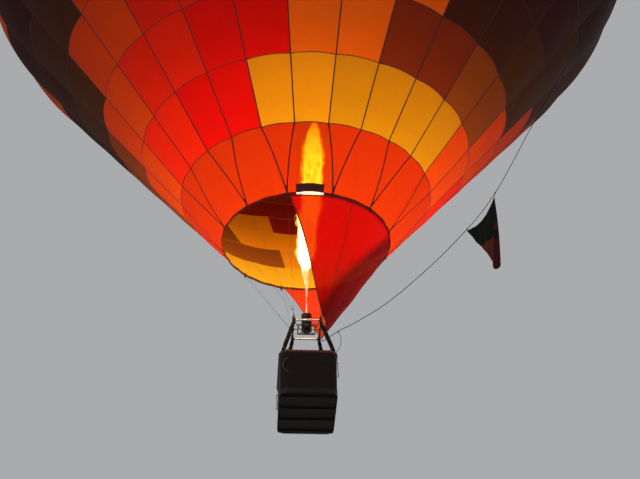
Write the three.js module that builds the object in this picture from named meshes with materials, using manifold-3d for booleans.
// Hot air balloon, in millimetres, +Z up.
// The origin is on the envelope's axis at its widest level, where the air holds it.
// +X is the scoop's closed side and -Y is the side with the open edge of the scoop.
// Angles run from -Y toward +X, as seen from above.

import * as THREE from 'three';
import { mergeVertices } from 'three/addons/utils/BufferGeometryUtils.js';
import Module from 'manifold-3d';

const wasm = await Module();
wasm.setup();

const DEG = Math.PI / 180;

// Clearances
const TOUCH = 0.3;              // gap between pieces that rest on each other
const RUNNING = 0.6;            // radial gap of a pin in its hole
const OVERLAP = 2;              // how far shapes of one piece run into each other
const SAME_POINT = 1e-4;

// Envelope
const GORES = 24;
const FABRIC = 10;              // shell thickness
const ROW = 1530;               // width of one row of fabric
const ROWS_TO_VENT = 13.5;      // rows from the mouth to the vent's edge
const MOUTH_R = 1925;
const CONE_ANGLE = 38.6 * DEG;  // of the lower cone, from the vertical
const CONE_LENGTH = 8500;       // straight stretch of a gore
const LOWER_SHOULDER_R = 4400;  // radius of the profile from the cone to the widest level
const UPPER_SHOULDER_R = 6000;  // radius of the profile above the widest level
const UPPER_TURN = 50 * DEG;    // how far the upper shoulder turns inward
const BILLOW = 0.009;           // outward swell of a gore's middle, as a share of its radius

// Mouth, scoop and suspension
const MOUTH_TAPE_W = 60;
const MOUTH_TAPE_T = 12;
const LOAD_POINTS = 12;
const THIMBLE_R = 22;
const THIMBLE_T = 12;
const THIMBLE_UP = 34;          // above the mouth tape's low edge
const THIMBLE_IN = 3.2;         // its rim touches the two faces of the mouth tape that meet there
const CABLE_R = 4;
const CABLE_SPREAD = 9;         // spacing of a corner's cables along the karabiner
const SCOOP_START = -13.5;      // degrees, just past the first thimble
const SCOOP_SWEEP = 207;        // degrees
const SCOOP_LOW_EDGE = 45;      // height of its low edge above the load frame
const SCOOP_TIP_R = 75;         // how far its corners stand off the load frame's corners
const SCOOP_TIP_BULGE = 50;     // how far its low edge bulges past the corners

// Load frame and burner
const FRAME_DROP = 2380;        // from the mouth down to the load frame
const FRAME_X = 300;            // half the spacing of the side tubes
const FRAME_Y = 400;            // half the spacing of the end tubes
const FRAME_TUBE_R = 19;
const SOCKET_R = 35;
const SOCKET_TOP = 30;
const SOCKET_LOW = -60;
const LUG_W = 60;
const LUG_T = 12;
const LUG_H = 78;
const LUG_HOLE_R = 15;
const LUG_HOLE_UP = 50;         // hole's height above the socket
const LINK_W = 84;              // karabiner, along Y
const LINK_H = 130;
const LINK_BAR = 12;
const LINK_SEAT = 3.5;          // its square corners touch the hole this far below the hole's top
const LINK_ARC_STEPS = 4;
const GIMBAL = 190;             // half the side of the gimbal's square
const GIMBAL_BAR = 24;
const PIN_R = 8;
const PIN_IN = 14;              // how deep a pin goes into its hole
const PIN_SIDES = 16;
const CAN_R = 115;
const CAN_WALL = 4;
const CAN_LOW = -20;            // from the gimbal's axis
const CAN_TOP = 375;
const CAN_SIDES = 22;
const COIL_LOW = 20;
const COIL_TOP = 330;
const COIL_INNER_R = 66;
const COIL_GROOVE = 12;         // depth of the groove between two turns
const COIL_TURNS = 6;
const BLOCK_R = 80;
const BLOCK_H = 85;
const BLOCK_FOOT_R = 56;
const BLOCK_FOOT_H = 34;        // of its sloping foot
const BLOCK_FLANGE_T = 12;
const NOZZLE_R = 42;
const NOZZLE_TIP_R = 30;
const NOZZLE_H = 34;
const NOZZLE_ROOT = 5;          // how deep it stands in the flange
const LEVER_R = 10;
const LEVER_ROOT = [55, -20, 60];   // from the block's axis, and below its top
const LEVER_TIP = [150, -70, 120];
const HOSE_R = 9;
const HOSE_STEPS = 10;
const TUBE_SIDES = 8;

// Basket
const FLOOR_DROP = 4500;        // from the mouth down to the floor
const BASKET_X = 615;           // half the outside width
const BASKET_Y = 885;           // half the outside length
const BASKET_CORNER = 180;
const WALL_T = 40;
const WALL_H = 1050;            // floor to the rim's top
const RIM_H = 70;
const RIM_T = 76;
const RIM_BEVEL = 23;
const FLOOR_T = 20;
const RUNNER_W = 70;
const RUNNER_H = 45;
const RUNNER_PITCH = 490;
const RUNNER_INSET = 10;        // from the wall's outer face to the runner's end
const UPRIGHT_R = 50;
const UPRIGHT_END_R = 43;
const UPRIGHT_SIDES = 14;
const CORNER_STEPS = 4;         // facets of a round corner
const TANK_R = 165;
const TANK_H = 790;
const TANK_FOOT_R = 150;
const TANK_FOOT_H = 30;
const TANK_FOOT_BEVEL = 30;
const TANK_SHOULDER_H = 75;     // of the slope from the side to the collar
const TANK_COLLAR_R = 95;
const TANK_COLLAR_H = 75;
const TANK_X = 398;
const TANK_Y = 672;

// Crown
const CROWN_RING_R = 130;
const CROWN_RING_HOLE = 85;
const CROWN_TAPE_W = 34;
const CROWN_TAPE_T = 5;
const CROWN_TAPE_GRIP = 12;     // how far a tape runs in over the ring
const VENT_OVERLAP_ROWS = 0.2;
const CROWN_BEND_ROWS = 0.7;    // from the vent's edge to the bend of the vent and its tapes

// Crown line
const ROPE_R = 8;
const ROPE_ANGLE = 82.5;        // the load tape that it lies along
const ROPE_MEETS_ROW = 6.1;     // row of fabric where it meets the tape
const ROPE_LIFT = 6;            // its gap to the fabric
const ROPE_STEPS = 72;
const ROPE_TAPE_POINTS = 16;
const ROPE_FOOT_GAP = 1.2;      // from the socket to the rope's slanting end
const TAIL_R = 6;
const TAIL_STEPS = 14;
const TAIL_GAP = 4.5;           // from the rope's slanting underside to the tail's flat end
const FLAG_T = 6;
const FLAG_STEPS = [12, 15];    // steps of the rope that the flag's top edge spans
const FLAG_HEM = [[10, 1960], [-60, 2040], [-130, 1700]];  // low corners, from the top corner: out, down

const MOUTH_Z = -(CONE_LENGTH * Math.cos(CONE_ANGLE) + LOWER_SHOULDER_R * Math.sin(CONE_ANGLE));
const MOUTH_TAPE_LOW = MOUTH_Z - TOUCH - MOUTH_TAPE_W;
const FRAME_Z = MOUTH_Z - FRAME_DROP;
const FLOOR_Z = MOUTH_Z - FLOOR_DROP;
const RIM_TOP = FLOOR_Z + WALL_H;
const VENT_EDGE = ROWS_TO_VENT * ROW;

const widest = MOUTH_R + CONE_LENGTH * Math.sin(CONE_ANGLE)
  + LOWER_SHOULDER_R * (1 - Math.cos(CONE_ANGLE));
const crownStart = widest - UPPER_SHOULDER_R * (1 - Math.cos(UPPER_TURN));
const CROWN_R = crownStart / Math.cos(UPPER_TURN);

// The profile is a straight cone and three arcs that meet on a tangent.
const STRETCHES = [
  { length: CONE_LENGTH, radius: Infinity },
  { length: LOWER_SHOULDER_R * CONE_ANGLE, radius: LOWER_SHOULDER_R },
  { length: UPPER_SHOULDER_R * UPPER_TURN, radius: UPPER_SHOULDER_R },
  { length: CROWN_R * (Math.PI / 2 - UPPER_TURN), radius: CROWN_R },
];
const PROFILE_LENGTH = STRETCHES.reduce((sum, stretch) => sum + stretch.length, 0);

const model = new THREE.Group();

// Finishes
const finish = (color, roughness, metalness) => ({ color, roughness, metalness });
const CLOTH = {
  orange: finish('#e05a10', 0.7, 0),
  scarlet: finish('#d8300c', 0.7, 0),
  red: finish('#b81408', 0.7, 0),
  yellow: finish('#e8a010', 0.7, 0),
  brown: finish('#4a2818', 0.7, 0),
  olive: finish('#6a6020', 0.7, 0),
  scoop: finish('#c01008', 0.7, 0),
};
const TAPE = finish('#5a1808', 0.8, 0);
const STEEL = finish('#8a8c90', 0.35, 0.9);
const DARK_METAL = finish('#2c2d30', 0.45, 0.8);
const BLACK_COVER = finish('#17171a', 0.85, 0);
const WICKER = finish('#4a2f1c', 0.8, 0);
const LEATHER = finish('#6e2c20', 0.6, 0);
const PLYWOOD = finish('#8a6a44', 0.7, 0);
const ROPE = finish('#2a2624', 0.9, 0);
const FLAG = finish('#1e3a24', 0.8, 0);

// A gore's colour moves one gore round with each row, so this is its colour at the widest row.
const GORE_CLOTH = ['brown', 'olive', 'orange', 'scarlet', 'red', 'yellow'];
const WIDEST_ROW = 7;

function add(name, geometry, look, place = [0, 0, 0], turn = 0) {
  const mesh = new THREE.Mesh(geometry, new THREE.MeshStandardMaterial(look));
  mesh.name = name;
  mesh.position.set(...place);
  mesh.rotation.z = turn;
  model.add(mesh);
}

// A point of the envelope's profile, at a distance along a gore from the mouth.
function profileAt(along) {
  let slope = CONE_ANGLE;
  let r = MOUTH_R;
  let z = MOUTH_Z;
  let left = along;
  for (const { length, radius } of STRETCHES) {
    const step = Math.min(left, length);
    const next = slope - step / radius;
    if (radius === Infinity) {
      r += step * Math.sin(slope);
      z += step * Math.cos(slope);
    } else {
      r += radius * (Math.cos(next) - Math.cos(slope));
      z += radius * (Math.sin(slope) - Math.sin(next));
    }
    slope = next;
    left -= step;
    if (left <= 0) break;
  }
  return { r, z, slope };
}

// A point on the envelope, at a depth under its outer face.
function onEnvelope(along, angle, depth, swell) {
  const { r, z, slope } = profileAt(along);
  const radius = r * (1 + swell) - depth * Math.cos(slope);
  return new THREE.Vector3(radius * Math.sin(angle), -radius * Math.cos(angle), z + depth * Math.sin(slope));
}

// A closed body between two grids of points, one for each face.
// A ring closes on itself; a pole is a last row whose points are all one.
function slab(top, under, { ring = false, pole = false } = {}) {
  const rows = top.length;
  const cols = top[0].length;
  const points = [];
  const index = (side, i, j) => {
    if (pole && i === rows - 1) return side * rows * cols + i * cols;
    return side * rows * cols + i * cols + (j % cols);
  };
  for (const grid of [top, under]) {
    for (const row of grid) {
      for (const p of row) points.push(p.x, p.y, p.z);
    }
  }
  const faces = [];
  const quad = (a, b, c, d) => {
    if (a !== b && b !== c && c !== a) faces.push(a, b, c);
    if (a !== c && c !== d && d !== a) faces.push(a, c, d);
  };
  const spans = ring ? cols : cols - 1;
  for (let i = 0; i < rows - 1; i += 1) {
    for (let j = 0; j < spans; j += 1) {
      quad(index(0, i, j), index(0, i, j + 1), index(0, i + 1, j + 1), index(0, i + 1, j));
      quad(index(1, i, j), index(1, i + 1, j), index(1, i + 1, j + 1), index(1, i, j + 1));
    }
    if (!ring) {
      quad(index(0, i, 0), index(0, i + 1, 0), index(1, i + 1, 0), index(1, i, 0));
      quad(index(0, i, cols - 1), index(1, i, cols - 1), index(1, i + 1, cols - 1), index(0, i + 1, cols - 1));
    }
  }
  for (let j = 0; j < spans; j += 1) {
    quad(index(0, 0, j), index(1, 0, j), index(1, 0, j + 1), index(0, 0, j + 1));
    if (!pole) {
      const last = rows - 1;
      quad(index(0, last, j), index(0, last, j + 1), index(1, last, j + 1), index(1, last, j));
    }
  }
  return facingOut(new THREE.BufferGeometry()
    .setAttribute('position', new THREE.Float32BufferAttribute(points, 3))
    .setIndex(faces));
}

// Turns every face over if the body came out inside out.
function facingOut(geometry) {
  const at = geometry.attributes.position;
  const faces = geometry.index.array;
  const [a, b, c] = [new THREE.Vector3(), new THREE.Vector3(), new THREE.Vector3()];
  let volume = 0;
  for (let k = 0; k < faces.length; k += 3) {
    a.fromBufferAttribute(at, faces[k]);
    b.fromBufferAttribute(at, faces[k + 1]);
    c.fromBufferAttribute(at, faces[k + 2]);
    volume += a.dot(b.cross(c));
  }
  if (volume < 0) {
    for (let k = 0; k < faces.length; k += 3) {
      [faces[k + 1], faces[k + 2]] = [faces[k + 2], faces[k + 1]];
    }
  }
  return geometry;
}

function toSolid(geometry) {
  const bare = geometry.clone();
  bare.deleteAttribute('normal');
  bare.deleteAttribute('uv');
  const merged = mergeVertices(bare, SAME_POINT);
  return new wasm.Manifold(new wasm.Mesh({
    numProp: 3,
    vertProperties: new Float32Array(merged.attributes.position.array),
    triVerts: new Uint32Array(merged.index.array),
  }));
}

function fromSolid(solid) {
  const mesh = solid.getMesh();
  return new THREE.BufferGeometry()
    .setAttribute('position', new THREE.Float32BufferAttribute(mesh.vertProperties, 3))
    .setIndex(Array.from(mesh.triVerts));
}

function join(geometries) {
  return geometries.map(toSolid).reduce((whole, next) => whole.add(next));
}

function box(w, d, h, x, y, z) {
  return new THREE.BoxGeometry(w, d, h).translate(x, y, z);
}

// A rod between two points.
function rod(from, to, radius, sides) {
  const [a, b] = [new THREE.Vector3(...from), new THREE.Vector3(...to)];
  const along = b.clone().sub(a);
  const turn = new THREE.Quaternion().setFromUnitVectors(new THREE.Vector3(0, 1, 0), along.clone().normalize());
  const middle = a.add(b).multiplyScalar(0.5);
  return new THREE.CylinderGeometry(radius, radius, along.length(), sides)
    .applyQuaternion(turn)
    .translate(middle.x, middle.y, middle.z);
}

// A turned body, from its profile of [radius, height] points, with +Z as its axis.
function turned(profile, sides) {
  const points = profile.map(([r, z]) => new THREE.Vector2(r, z));
  return new THREE.LatheGeometry(points, sides).rotateX(Math.PI / 2);
}

// A round tube along a smooth curve, with closed ends.
function tube(curve, radius, sides, steps) {
  const section = new THREE.Shape();
  for (let k = 0; k < sides; k += 1) {
    const angle = (2 * Math.PI * k) / sides;
    const [x, y] = [radius * Math.cos(angle), radius * Math.sin(angle)];
    if (k === 0) section.moveTo(x, y);
    else section.lineTo(x, y);
  }
  return new THREE.ExtrudeGeometry(section, { steps, extrudePath: curve, bevelEnabled: false });
}

const smooth = (points) => new THREE.CatmullRomCurve3(points.map((p) => new THREE.Vector3(...p)));

// Gores: strips of fabric between two load tapes, from the mouth to the vent's edge.
function goreRows() {
  const coneRows = Math.floor(CONE_LENGTH / ROW) + 0.5;
  const rows = [0, coneRows / 2];
  for (let k = coneRows; k < ROWS_TO_VENT - VENT_OVERLAP_ROWS; k += 0.5) rows.push(k);
  rows.push(ROWS_TO_VENT - VENT_OVERLAP_ROWS, ROWS_TO_VENT);
  return rows;
}

function gore(middle) {
  const half = Math.PI / GORES;
  const face = (depth) => goreRows().map((row) => [-1, 0, 1].map((side) => {
    const angle = middle + side * half;
    const point = onEnvelope(row * ROW, angle, depth, side === 0 ? BILLOW : 0);
    const inward = -side * (TOUCH / 2);
    return point.add(new THREE.Vector3(Math.cos(angle), Math.sin(angle), 0).multiplyScalar(inward));
  }));
  return slab(face(0), face(FABRIC));
}

for (let k = 0; k < GORES; k += 1) {
  const shade = Math.floor((((k - WIDEST_ROW) % LOAD_POINTS) + LOAD_POINTS) % LOAD_POINTS / 2);
  const name = `gore_${String(k + 1).padStart(2, '0')}`;
  add(name, gore(k * (2 * Math.PI / GORES)), CLOTH[GORE_CLOTH[shade]]);
}

// Parachute vent: a disc of fabric that the hot air presses against the gores' top edge from inside.
function parachuteVent() {
  const under = FABRIC + TOUCH;
  const alongs = [-VENT_OVERLAP_ROWS, 0, CROWN_BEND_ROWS].map((rows) => VENT_EDGE + rows * ROW);
  alongs.push(PROFILE_LENGTH - SAME_POINT);
  const around = 2 * GORES;
  const face = (depth) => alongs.map((along) => Array.from({ length: around }, (_, j) => {
    const angle = (j - 1) * (Math.PI / GORES);
    const swell = j % 2 === 1 ? BILLOW : 0;
    return onEnvelope(along, angle, depth, swell);
  }));
  return slab(face(under), face(under + FABRIC), { ring: true, pole: true });
}
add('parachute_vent', parachuteVent(), CLOTH.red);

// Crown ring, with the load tapes that run to it over the vent.
function crownRing() {
  const apex = profileAt(PROFILE_LENGTH).z;
  const ring = turned([
    [CROWN_RING_HOLE, apex - CROWN_TAPE_T], [CROWN_RING_R, apex - CROWN_TAPE_T],
    [CROWN_RING_R, apex + CROWN_TAPE_T], [CROWN_RING_HOLE, apex + CROWN_TAPE_T],
    [CROWN_RING_HOLE, apex - CROWN_TAPE_T],
  ], GORES);
  const alongs = [VENT_EDGE + TOUCH, VENT_EDGE + CROWN_BEND_ROWS * ROW,
    PROFILE_LENGTH - CROWN_RING_R + CROWN_TAPE_GRIP];
  const tapes = Array.from({ length: GORES }, (_, k) => {
    const angle = (k + 0.5) * (2 * Math.PI / GORES);
    const side = new THREE.Vector3(Math.cos(angle), Math.sin(angle), 0);
    const face = (depth) => alongs.map((along) => [-1, 1].map((edge) => onEnvelope(along, angle, depth, 0)
      .addScaledVector(side, edge * CROWN_TAPE_W / 2)));
    return slab(face(0), face(CROWN_TAPE_T));
  });
  return fromSolid(join([ring, ...tapes]));
}
add('crown_ring', crownRing(), STEEL);

// Mouth ring: the tape that the gores' low edges are sewn to.
function mouthRing() {
  const face = (inset) => [MOUTH_TAPE_LOW, MOUTH_Z - TOUCH].map((z) => (
    Array.from({ length: 2 * GORES }, (_, j) => {
      const angle = (j - 1) * (Math.PI / GORES);
      const swell = j % 2 === 1 ? BILLOW : 0;
      const radius = MOUTH_R * (1 + swell) - inset;
      return new THREE.Vector3(radius * Math.sin(angle), -radius * Math.cos(angle), z);
    })));
  return slab(face(0), face(MOUTH_TAPE_T), { ring: true });
}
add('mouth_ring', mouthRing(), TAPE);

// Scoop: a sheet from the mouth ring to the load frame's +X side, open toward -X.
// Each of its lines runs beside a cable, so its corners gather at the load frame's corners.
function scoopLow(degrees) {
  const across = THREE.MathUtils.clamp((degrees - 90) / 15, -1, 1);
  const angle = degrees * DEG;
  const bulge = SCOOP_TIP_BULGE * (1 - across * across);
  return new THREE.Vector3(
    FRAME_X + bulge + SCOOP_TIP_R * Math.sin(angle),
    FRAME_Y * across - SCOOP_TIP_R * Math.cos(angle),
    FRAME_Z + SCOOP_LOW_EDGE,
  );
}

function scoop() {
  const around = 26;
  const down = [0, 0.4, 0.75, 1];
  const face = (depth) => down.map((share) => Array.from({ length: around + 1 }, (_, j) => {
    const degrees = SCOOP_START + (SCOOP_SWEEP * j) / around;
    const out = new THREE.Vector3(Math.sin(degrees * DEG), -Math.cos(degrees * DEG), 0);
    const high = out.clone().multiplyScalar(MOUTH_R - depth).setZ(MOUTH_TAPE_LOW - TOUCH);
    const low = scoopLow(degrees).addScaledVector(out, -depth);
    return high.lerp(low, share);
  }));
  return slab(face(0), face(FABRIC));
}
add('scoop', scoop(), CLOTH.scoop);

// Suspension: at each corner of the load frame, three cables joined at a karabiner.
// turns of the corner's own cables, in degrees, and the signs of its X and Y
const CORNERS = [
  { name: 'near_left', x: -1, y: -1, cables: [-15, -45, -75] },
  { name: 'near_right', x: 1, y: -1, cables: [15, 45, 75] },
  { name: 'far_right', x: 1, y: 1, cables: [105, 135, 165] },
  { name: 'far_left', x: -1, y: 1, cables: [195, 225, 255] },
];
const LINK_LOW = FRAME_Z + SOCKET_TOP + LUG_HOLE_UP + LUG_HOLE_R - LINK_SEAT - LINK_BAR;

function linkRing(x, y) {
  const outline = (w, h) => {
    const r = w / 2;
    const path = new THREE.Path();
    path.absarc(0, r, r, Math.PI, 2 * Math.PI, false);
    path.absarc(0, h - r, r, 0, Math.PI, false);
    path.closePath();
    return path;
  };
  const shape = new THREE.Shape(outline(LINK_W, LINK_H).getPoints(LINK_ARC_STEPS));
  const hole = outline(LINK_W - 2 * LINK_BAR, LINK_H - 2 * LINK_BAR).getPoints(LINK_ARC_STEPS)
    .map((p) => new THREE.Vector2(p.x, p.y + LINK_BAR));
  shape.holes.push(new THREE.Path(hole.reverse()));
  return new THREE.ExtrudeGeometry(shape, { depth: LINK_BAR, bevelEnabled: false })
    .rotateX(Math.PI / 2)
    .rotateZ(Math.PI / 2)
    .translate(x - LINK_BAR / 2, y, LINK_LOW);
}

function suspension(corner) {
  const [x, y] = [corner.x * FRAME_X, corner.y * FRAME_Y];
  const parts = [linkRing(x, y)];
  const out = MOUTH_R * (1 + BILLOW) - MOUTH_TAPE_T - TOUCH - THIMBLE_IN - THIMBLE_T / 2;
  for (const [k, degrees] of corner.cables.entries()) {
    const angle = degrees * DEG;
    const foot = [x, y + (k - 1) * corner.y * CABLE_SPREAD, LINK_LOW + LINK_H - LINK_BAR / 2];
    const head = [out * Math.sin(angle), -out * Math.cos(angle), MOUTH_TAPE_LOW + THIMBLE_UP];
    parts.push(rod(foot, head, CABLE_R, 6));
    parts.push(new THREE.CylinderGeometry(THIMBLE_R, THIMBLE_R, THIMBLE_T, 12)
      .rotateZ(angle)
      .translate(...head));
  }
  return fromSolid(join(parts));
}
for (const corner of CORNERS) add(`suspension_${corner.name}`, suspension(corner), STEEL);

// Load frame: four tubes, with a socket and a lug at each corner, and holes for the gimbal's pins.
function loadFrame() {
  const tubes = [];
  for (const side of [-1, 1]) {
    tubes.push(rod([side * FRAME_X, -FRAME_Y, 0], [side * FRAME_X, FRAME_Y, 0], FRAME_TUBE_R, 10));
    tubes.push(rod([-FRAME_X, side * FRAME_Y, 0], [FRAME_X, side * FRAME_Y, 0], FRAME_TUBE_R, 10));
  }
  const fittings = CORNERS.map((corner) => {
    const [x, y] = [corner.x * FRAME_X, corner.y * FRAME_Y];
    const socket = turned([[0, SOCKET_LOW], [SOCKET_R, SOCKET_LOW], [SOCKET_R, SOCKET_TOP], [0, SOCKET_TOP]], 12)
      .translate(x, y, 0);
    const lug = box(LUG_W, LUG_T, LUG_H, x, y, SOCKET_TOP + LUG_H / 2 - OVERLAP);
    const hole = rod([x, y - LUG_T, SOCKET_TOP + LUG_HOLE_UP], [x, y + LUG_T, SOCKET_TOP + LUG_HOLE_UP],
      LUG_HOLE_R, 12);
    return toSolid(socket).add(toSolid(lug).subtract(toSolid(hole)));
  });
  let frame = fittings.reduce((whole, next) => whole.add(next), join(tubes));
  for (const side of [-1, 1]) {
    const inner = FRAME_X - FRAME_TUBE_R;
    const hole = rod([side * (inner - PIN_IN), 0, 0], [side * (inner + PIN_IN + OVERLAP), 0, 0],
      PIN_R + RUNNING, PIN_SIDES);
    frame = frame.subtract(toSolid(hole));
  }
  return fromSolid(frame);
}
add('load_frame', loadFrame(), STEEL, [0, 0, FRAME_Z]);

// Gimbal: a square that turns about X on the load frame and carries the burner on pins along Y.
function gimbalRing() {
  const half = GIMBAL + GIMBAL_BAR / 2;
  const square = (side) => [[-side, -side], [side, -side], [side, side], [-side, side]]
    .map(([x, y]) => new THREE.Vector2(x, y));
  const shape = new THREE.Shape(square(half));
  shape.holes.push(new THREE.Path(square(half - GIMBAL_BAR).reverse()));
  const plate = new THREE.ExtrudeGeometry(shape, { depth: GIMBAL_BAR, bevelEnabled: false })
    .translate(0, 0, -GIMBAL_BAR / 2);
  const reach = FRAME_X - FRAME_TUBE_R + PIN_IN;
  const pins = [-1, 1].map((side) => rod([side * (half - OVERLAP), 0, 0], [side * reach, 0, 0], PIN_R, PIN_SIDES));
  let gimbal = join([plate, ...pins]);
  for (const side of [-1, 1]) {
    const inner = GIMBAL - GIMBAL_BAR / 2;
    const hole = rod([0, side * (inner - PIN_IN), 0], [0, side * (inner + PIN_IN + OVERLAP), 0],
      PIN_R + RUNNING, PIN_SIDES);
    gimbal = gimbal.subtract(toSolid(hole));
  }
  return fromSolid(gimbal);
}
add('gimbal_ring', gimbalRing(), STEEL, [0, 0, FRAME_Z]);

// Burner: an open can with its pins, the heating coil inside it, and the valve block under it.
function burnerCan() {
  const can = turned([
    [CAN_R - CAN_WALL, CAN_LOW], [CAN_R, CAN_LOW], [CAN_R, CAN_TOP], [CAN_R - CAN_WALL, CAN_TOP],
    [CAN_R - CAN_WALL, CAN_LOW],
  ], CAN_SIDES);
  const reach = GIMBAL - GIMBAL_BAR / 2 + PIN_IN;
  const start = CAN_R - CAN_WALL;
  const pins = [-1, 1].map((side) => rod([0, side * start, 0], [0, side * reach, 0], PIN_R, PIN_SIDES));
  return fromSolid(join([can, ...pins]));
}
add('burner_can', burnerCan(), DARK_METAL, [0, 0, FRAME_Z]);

function burnerCoil() {
  const outer = CAN_R - CAN_WALL - TOUCH;
  const groove = COIL_INNER_R + COIL_GROOVE;
  const pitch = (COIL_TOP - COIL_LOW) / COIL_TURNS;
  const profile = [[outer, COIL_LOW], [outer, COIL_TOP]];
  for (let k = COIL_TURNS; k > 0; k -= 1) {
    profile.push([groove, COIL_LOW + k * pitch], [COIL_INNER_R, COIL_LOW + (k - 0.5) * pitch]);
  }
  profile.push([groove, COIL_LOW], [outer, COIL_LOW]);
  return turned(profile, CAN_SIDES);
}
add('burner_coil', burnerCoil(), DARK_METAL, [0, 0, FRAME_Z]);

function burnerBlock() {
  const top = CAN_LOW - TOUCH;
  const [low, flange] = [top - BLOCK_H, top - BLOCK_FLANGE_T];
  const body = turned([
    [0, low], [BLOCK_FOOT_R, low], [BLOCK_R, low + BLOCK_FOOT_H], [BLOCK_R, flange],
    [CAN_R, flange], [CAN_R, top], [0, top],
  ], 18);
  const nozzle = turned([
    [0, top - NOZZLE_ROOT], [NOZZLE_R, top - NOZZLE_ROOT], [NOZZLE_TIP_R, top + NOZZLE_H], [0, top + NOZZLE_H],
  ], 14);
  const leverPoint = ([x, y, down], side) => [side * x, y, top - down];
  const levers = [-1, 1].map((side) => (
    rod(leverPoint(LEVER_ROOT, side), leverPoint(LEVER_TIP, side), LEVER_R, TUBE_SIDES)));
  return fromSolid(join([body, nozzle, ...levers]));
}
add('burner_block', burnerBlock(), DARK_METAL, [0, 0, FRAME_Z]);

// Fuel hoses: each leaves a near socket and hangs in to the valve block, with room for the tilts.
// distance from the socket's axis toward the burner, and height from the load frame
const HOSE_ROUTE = [
  [SOCKET_R + 2 * TOUCH, -38], [62, -38], [88, -50], [122, -76], [165, -102], [225, -116], [285, -112],
  [335, -98], [372, -90],
];

function fuelHose(side) {
  const inward = new THREE.Vector3(-side * FRAME_X, FRAME_Y, 0).normalize();
  const points = HOSE_ROUTE.map(([out, z]) => [side * FRAME_X + inward.x * out, -FRAME_Y + inward.y * out, z]);
  return tube(smooth(points), HOSE_R, TUBE_SIDES, HOSE_STEPS);
}
add('fuel_hose_left', fuelHose(-1), BLACK_COVER, [0, 0, FRAME_Z]);
add('fuel_hose_right', fuelHose(1), BLACK_COVER, [0, 0, FRAME_Z]);

// Uprights: padded covers over the rods, from the load frame's sockets to the basket's corners.
function upright(corner) {
  const middle = BASKET_CORNER - WALL_T / 2;
  const spread = middle * Math.SQRT1_2;
  const foot = new THREE.Vector3(corner.x * (BASKET_X - BASKET_CORNER + spread),
    corner.y * (BASKET_Y - BASKET_CORNER + spread), RIM_TOP + TOUCH);
  const head = new THREE.Vector3(corner.x * FRAME_X, corner.y * FRAME_Y, FRAME_Z + SOCKET_LOW - TOUCH);
  const centres = [foot, foot.clone().lerp(head, 0.5), head];
  const radii = [UPRIGHT_END_R, UPRIGHT_R, UPRIGHT_END_R];
  const rings = centres.map((centre, k) => Array.from({ length: UPRIGHT_SIDES }, (_, j) => {
    const angle = (2 * Math.PI * j) / UPRIGHT_SIDES;
    return centre.clone().add(new THREE.Vector3(radii[k] * Math.cos(angle), radii[k] * Math.sin(angle), 0));
  }));
  const cores = centres.map((centre) => Array.from({ length: UPRIGHT_SIDES }, () => centre.clone()));
  return capped(rings, cores);
}

// A closed body through rings of points, with a flat end at each centre.
function capped(rings, cores) {
  const grid = [cores[0], ...rings, cores[cores.length - 1]];
  const points = grid.flat().flatMap((p) => [p.x, p.y, p.z]);
  const sides = rings[0].length;
  const faces = [];
  for (let i = 0; i < grid.length - 1; i += 1) {
    for (let j = 0; j < sides; j += 1) {
      const [a, b] = [i * sides + j, i * sides + ((j + 1) % sides)];
      const [c, d] = [b + sides, a + sides];
      if (i < grid.length - 2) faces.push(a, c, d);
      if (i > 0) faces.push(a, b, c);
    }
  }
  const body = mergeVertices(new THREE.BufferGeometry()
    .setAttribute('position', new THREE.Float32BufferAttribute(points, 3))
    .setIndex(faces), SAME_POINT);
  return facingOut(body);
}
for (const corner of CORNERS) add(`upright_${corner.name}`, upright(corner), BLACK_COVER);

// Basket: four wicker walls that meet in the middle of its round corners.
function wall(halfLength, halfDepth) {
  const cx = halfLength - BASKET_CORNER;
  const cy = -(halfDepth - BASKET_CORNER);
  const [outer, inner] = [BASKET_CORNER, BASKET_CORNER - WALL_T];
  const split = (r) => TOUCH / 2 / r;
  const shape = new THREE.Shape();
  shape.absarc(-cx, cy, outer, 225 * DEG + split(outer), 270 * DEG, false);
  shape.absarc(cx, cy, outer, 270 * DEG, 315 * DEG - split(outer), false);
  shape.absarc(cx, cy, inner, 315 * DEG - split(inner), 270 * DEG, true);
  shape.absarc(-cx, cy, inner, 270 * DEG, 225 * DEG + split(inner), true);
  shape.closePath();
  const low = FLOOR_Z - FLOOR_T + TOUCH;
  return new THREE.ExtrudeGeometry(shape, {
    depth: RIM_TOP - RIM_H - TOUCH - low, bevelEnabled: false, curveSegments: CORNER_STEPS,
  }).translate(0, 0, low);
}
add('basket_wall_near', wall(BASKET_X, BASKET_Y), WICKER);
add('basket_wall_right', wall(BASKET_Y, BASKET_X), WICKER, [0, 0, 0], Math.PI / 2);
add('basket_wall_far', wall(BASKET_X, BASKET_Y), WICKER, [0, 0, 0], Math.PI);
add('basket_wall_left', wall(BASKET_Y, BASKET_X), WICKER, [0, 0, 0], -Math.PI / 2);

function roundRect(halfX, halfY, r) {
  const path = new THREE.Path();
  path.absarc(halfX - r, -halfY + r, r, -90 * DEG, 0, false);
  path.absarc(halfX - r, halfY - r, r, 0, 90 * DEG, false);
  path.absarc(-halfX + r, halfY - r, r, 90 * DEG, 180 * DEG, false);
  path.absarc(-halfX + r, -halfY + r, r, 180 * DEG, 270 * DEG, false);
  path.closePath();
  return path;
}

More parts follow.
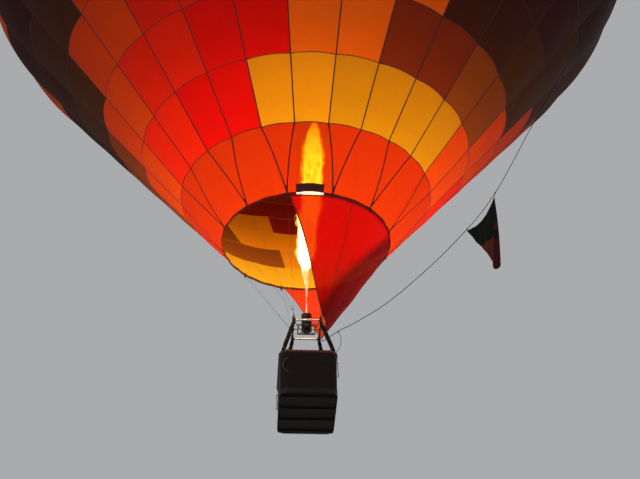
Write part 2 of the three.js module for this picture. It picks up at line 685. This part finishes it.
// Rim: the padded leather roll on the walls' top edge.
function basketRim() {
  const grow = (RIM_T - WALL_T) / 2 - RIM_BEVEL;
  const at = (out) => roundRect(BASKET_X + out, BASKET_Y + out, BASKET_CORNER + out).getPoints(CORNER_STEPS);
  const shape = new THREE.Shape(at(grow));
  shape.holes.push(new THREE.Path(at(-WALL_T - grow).reverse()));
  return new THREE.ExtrudeGeometry(shape, {
    depth: RIM_H - 2 * RIM_BEVEL,
    bevelEnabled: true,
    bevelSize: RIM_BEVEL,
    bevelThickness: RIM_BEVEL,
    bevelSegments: 1,
  }).translate(0, 0, RIM_TOP - RIM_H + RIM_BEVEL);
}
add('basket_rim', basketRim(), LEATHER);

// Floor board on four runners.
function basketFloor() {
  const inset = WALL_T + TOUCH;
  const board = new THREE.Shape(
    roundRect(BASKET_X - inset, BASKET_Y - inset, BASKET_CORNER - inset).getPoints(CORNER_STEPS),
  );
  const deck = new THREE.ExtrudeGeometry(board, { depth: FLOOR_T, bevelEnabled: false })
    .translate(0, 0, FLOOR_Z - FLOOR_T);
  const runners = [-1.5, -0.5, 0.5, 1.5].map((k) => box(2 * (BASKET_X - RUNNER_INSET), RUNNER_W, RUNNER_H,
    0, k * RUNNER_PITCH, FLOOR_Z - FLOOR_T - RUNNER_H / 2));
  return fromSolid(join([deck, ...runners]));
}
add('basket_floor', basketFloor(), PLYWOOD);

// Fuel tanks: one upright cylinder in each corner of the basket.
function tank() {
  return turned([
    [0, 0], [TANK_FOOT_R, 0], [TANK_FOOT_R, TANK_FOOT_H], [TANK_R, TANK_FOOT_H + TANK_FOOT_BEVEL],
    [TANK_R, TANK_H - TANK_COLLAR_H - TANK_SHOULDER_H], [TANK_COLLAR_R, TANK_H - TANK_COLLAR_H],
    [TANK_COLLAR_R, TANK_H], [0, TANK_H],
  ], 16);
}
for (const corner of CORNERS) {
  add(`tank_${corner.name}`, tank(), BLACK_COVER, [corner.x * TANK_X, corner.y * TANK_Y, FLOOR_Z + TOUCH]);
}

// Crown line: a rope from the far right socket, out and up to the load tape that it lies along, to the crown.
// It hangs in one upright plane, from the socket to where it meets the tape.
const ROPE_FOOT = new THREE.Vector3(FRAME_X + SOCKET_R + ROPE_FOOT_GAP, FRAME_Y, 0);
const ROPE_MEETS = profileAt(ROPE_MEETS_ROW * ROW).r;
const ROPE_TAPE_END = PROFILE_LENGTH - CROWN_RING_R - 2 * TOUCH;
const tapeAngle = ROPE_ANGLE * DEG;
const ropePlane = new THREE.Vector3(ROPE_MEETS * Math.sin(tapeAngle), -ROPE_MEETS * Math.cos(tapeAngle), 0)
  .sub(ROPE_FOOT)
  .normalize();
// distance from the socket along the plane, and height
const ROPE_HANG = [
  [0, -11800], [80, -11797], [240, -11690], [430, -11570], [660, -11465], [890, -11335], [1350, -11060],
  [1810, -10705], [2280, -10285], [2760, -9825], [3240, -9310], [3730, -8735], [4210, -8010], [4780, -6930],
  [5230, -6060],
];

const ropePoint = (out, z) => ROPE_FOOT.clone().addScaledVector(ropePlane, out).setZ(z);

function ropeCurve() {
  const points = ROPE_HANG.map(([out, z]) => ropePoint(out, z).toArray());
  const from = (ROPE_MEETS_ROW + 0.2) * ROW;
  for (let k = 0; k <= ROPE_TAPE_POINTS; k += 1) {
    const along = from + ((ROPE_TAPE_END - from) * k) / ROPE_TAPE_POINTS;
    points.push(onEnvelope(along, tapeAngle, -ROPE_R - ROPE_LIFT, 0).toArray());
  }
  return smooth(points);
}
const rope = ropeCurve();
add('crown_line', tube(rope, ROPE_R, TUBE_SIDES, ROPE_STEPS), ROPE);

// Tail of the crown line: from a knot near the load frame down to the basket's rim.
const KNOT = rope.getPointAt(1 / ROPE_STEPS).lerp(rope.getPointAt(2 / ROPE_STEPS), 0.25);
const TAIL_ROUTE = [
  [KNOT.x, KNOT.y, KNOT.z - ROPE_R - TAIL_GAP], [778, 310, -11750], [776, 300, -11930], [738, 270, -12075],
  [665, 225, -12210], [614, 190, -12400], [597, 165, -12600], [595, 152, -12760], [595, 150, RIM_TOP + TOUCH],
];
add('crown_line_tail', tube(smooth(TAIL_ROUTE), TAIL_R, TUBE_SIDES, TAIL_STEPS), ROPE);

// Flag: a tapering cloth that hangs from the crown line by its top edge.
function flag() {
  const edge = [];
  for (let k = FLAG_STEPS[0]; k <= FLAG_STEPS[1]; k += 1) {
    const point = rope.getPointAt(k / ROPE_STEPS).sub(ROPE_FOOT);
    const along = rope.getTangentAt(k / ROPE_STEPS);
    const below = new THREE.Vector2(along.z, -along.dot(ropePlane)).multiplyScalar(ROPE_R + 2 * TOUCH);
    edge.push(new THREE.Vector2(point.dot(ropePlane), point.z).add(below));
  }
  const high = edge[edge.length - 1];
  const hem = FLAG_HEM.map(([out, down]) => new THREE.Vector2(high.x + out, high.y - down));
  const shape = new THREE.Shape([...edge, ...hem]);
  return new THREE.ExtrudeGeometry(shape, { depth: FLAG_T, bevelEnabled: false })
    .translate(0, 0, -FLAG_T / 2)
    .rotateX(Math.PI / 2)
    .rotateZ(Math.atan2(ropePlane.y, ropePlane.x))
    .translate(ROPE_FOOT.x, ROPE_FOOT.y, 0);
}
add('flag', flag(), FLAG);

export default model;
